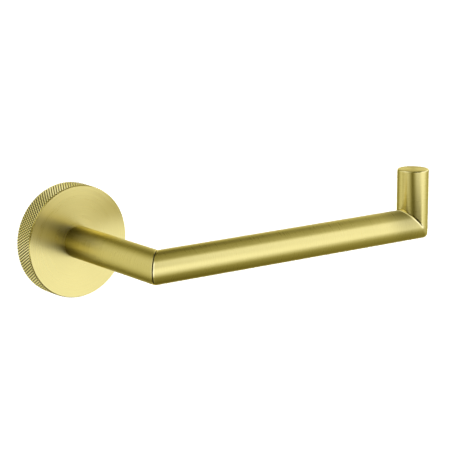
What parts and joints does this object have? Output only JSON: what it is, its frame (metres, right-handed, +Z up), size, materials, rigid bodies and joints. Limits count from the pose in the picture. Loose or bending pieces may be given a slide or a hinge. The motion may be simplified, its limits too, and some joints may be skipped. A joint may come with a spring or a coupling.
{
  "type": "toilet paper holder",
  "caption": "Wall-mounted toilet paper holder: a round flange with a diamond-knurled rim, a straight post, an open arm of the same brushed gold tube and a short upturned tip.",
  "frame": {"origin": "centre of the flange's rear face, on the wall", "axes": "+Z up, +Y into the wall, so the post stands out along -Y; the arm runs along +X and the tip points along +Z"},
  "size_m": [0.194, 0.086, 0.0564],
  "materials": {
    "brushed_gold": "satin brushed pale gold",
    "plain_brass": "machined, unplated",
    "bracket_steel": "zinc plated, satin",
    "fastener_steel": "stainless, machined"
  },
  "bodies": {
    "holder": {"wall_bracket": "bracket_steel", "cover_flange": "brushed_gold", "flat_washer": "fastener_steel", "spring_washer": "fastener_steel", "tie_bolt": "fastener_steel", "post_plug": "plain_brass", "post_tube": "brushed_gold", "corner_elbow": "plain_brass", "arm_tube": "brushed_gold", "tip_tube": "brushed_gold", "tip_cap": "brushed_gold"},
    "set_screw": {"set_screw": "fastener_steel"}
  },
  "joints": [
    {"name": "set_screw_travel", "type": "slide", "parent": "holder", "child": "set_screw", "axis": [0, 0, -1], "range_m": [0, 0.002]}
  ]
}
